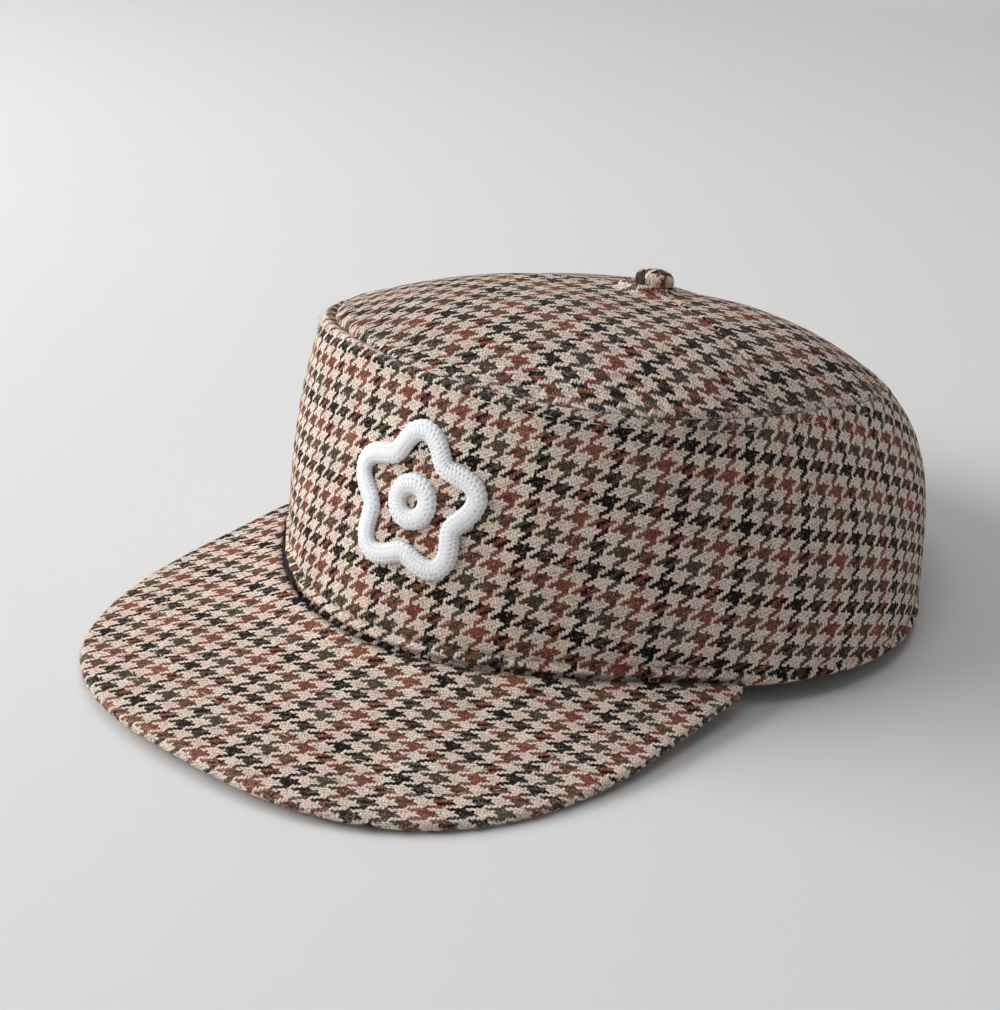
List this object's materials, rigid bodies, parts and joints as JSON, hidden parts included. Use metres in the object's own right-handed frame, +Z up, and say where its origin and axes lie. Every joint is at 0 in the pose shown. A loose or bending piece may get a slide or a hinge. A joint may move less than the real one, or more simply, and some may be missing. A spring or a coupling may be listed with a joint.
{
  "type": "flat brim cap",
  "caption": "Soft flat brim cap in brown checked wool cloth: band crown, two-panel top, covered button, stiff flat brim and a raised embroidered flower.",
  "frame": {"origin": "middle of the cap's bounding box in plan, on the surface the cap rests on", "axes": "the wearer faces -Y, the wearer's left is +X, +Z is up"},
  "size_m": [0.1954, 0.2614, 0.0852],
  "materials": {
    "band_cloth": "woven houndstooth check in cream, black, olive and rust wool",
    "top_cloth": "woven houndstooth check in cream, black, olive and rust wool",
    "top_back_cloth": "woven houndstooth check in cream, black, olive and rust wool",
    "brim_cloth": "woven houndstooth check over a stiff board, stitched in rows",
    "button_cloth": "button covered in the same woven check",
    "flower_thread": "thick white chain stitched thread",
    "eye_thread": "thick white chain stitched thread"
  },
  "bodies": {
    "root": {"crown_band": "band_cloth", "crown_top_front": "top_cloth", "crown_top_back": "top_back_cloth", "brim": "brim_cloth", "top_button": "button_cloth", "front_flower": "flower_thread", "front_flower_eye": "eye_thread"}
  },
  "joints": []
}
